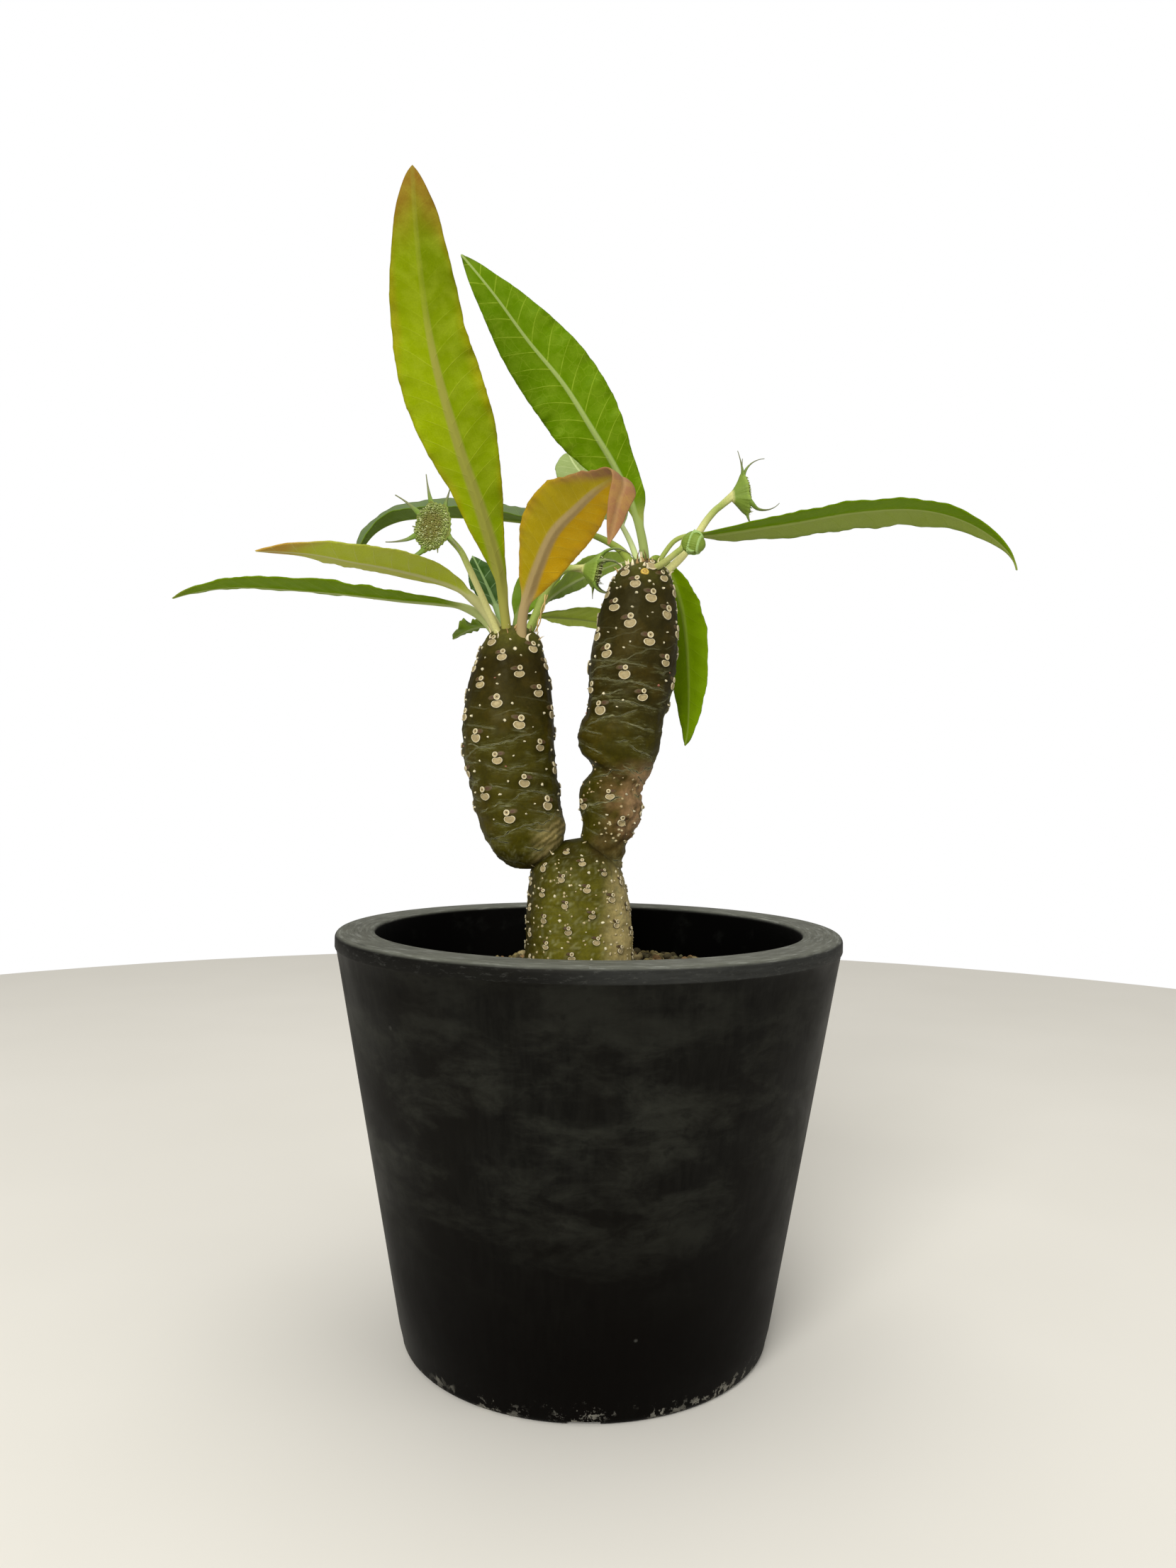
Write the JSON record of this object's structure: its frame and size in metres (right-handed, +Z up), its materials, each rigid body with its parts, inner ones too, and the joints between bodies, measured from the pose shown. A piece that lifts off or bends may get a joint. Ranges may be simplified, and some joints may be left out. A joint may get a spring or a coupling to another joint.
{
  "type": "potted dorstenia",
  "caption": "Succulent plant with a forked, scarred stem, crowns of lance-shaped leaves and spidery disc flowers, standing in grit in a thick-rimmed tapered pot.",
  "frame": {"origin": "middle of the pot's flat underside", "axes": "+Z up along the pot's axis, -Y towards the picture's viewer, +X to the viewer's right, along the plane in which the stem forks"},
  "size_m": [0.1977, 0.1299, 0.2496],
  "materials": {
    "pot": "matte charcoal plastic",
    "soil": "damp granular grit",
    "stem": "satin olive-brown succulent skin with corky scars",
    "leaf_green": "satin green leaf",
    "leaf_yellow": "satin yellow-green leaf, red at its tip",
    "leaf_amber": "satin amber leaf turning brown",
    "bloom": "granular pale green"
  },
  "bodies": {
    "root": {"pot": "pot", "soil": "soil", "stem": "stem", "leaf_left_tall": "leaf_yellow", "leaf_left_amber": "leaf_amber", "leaf_left_blush": "leaf_yellow", "leaf_left_long": "leaf_green", "leaf_left_young": "leaf_green", "leaf_left_small": "leaf_green", "leaf_left_middle": "leaf_green", "leaf_left_rear": "leaf_green", "leaf_left_low": "leaf_green", "leaf_right_tall": "leaf_green", "leaf_right_level": "leaf_green", "leaf_right_drooping": "leaf_green", "leaf_right_far_left": "leaf_green", "leaf_right_pale": "leaf_green", "bloom_left_open": "bloom", "bloom_left_side": "bloom", "bloom_right_tall": "bloom", "bloom_right_young": "bloom"}
  },
  "joints": []
}
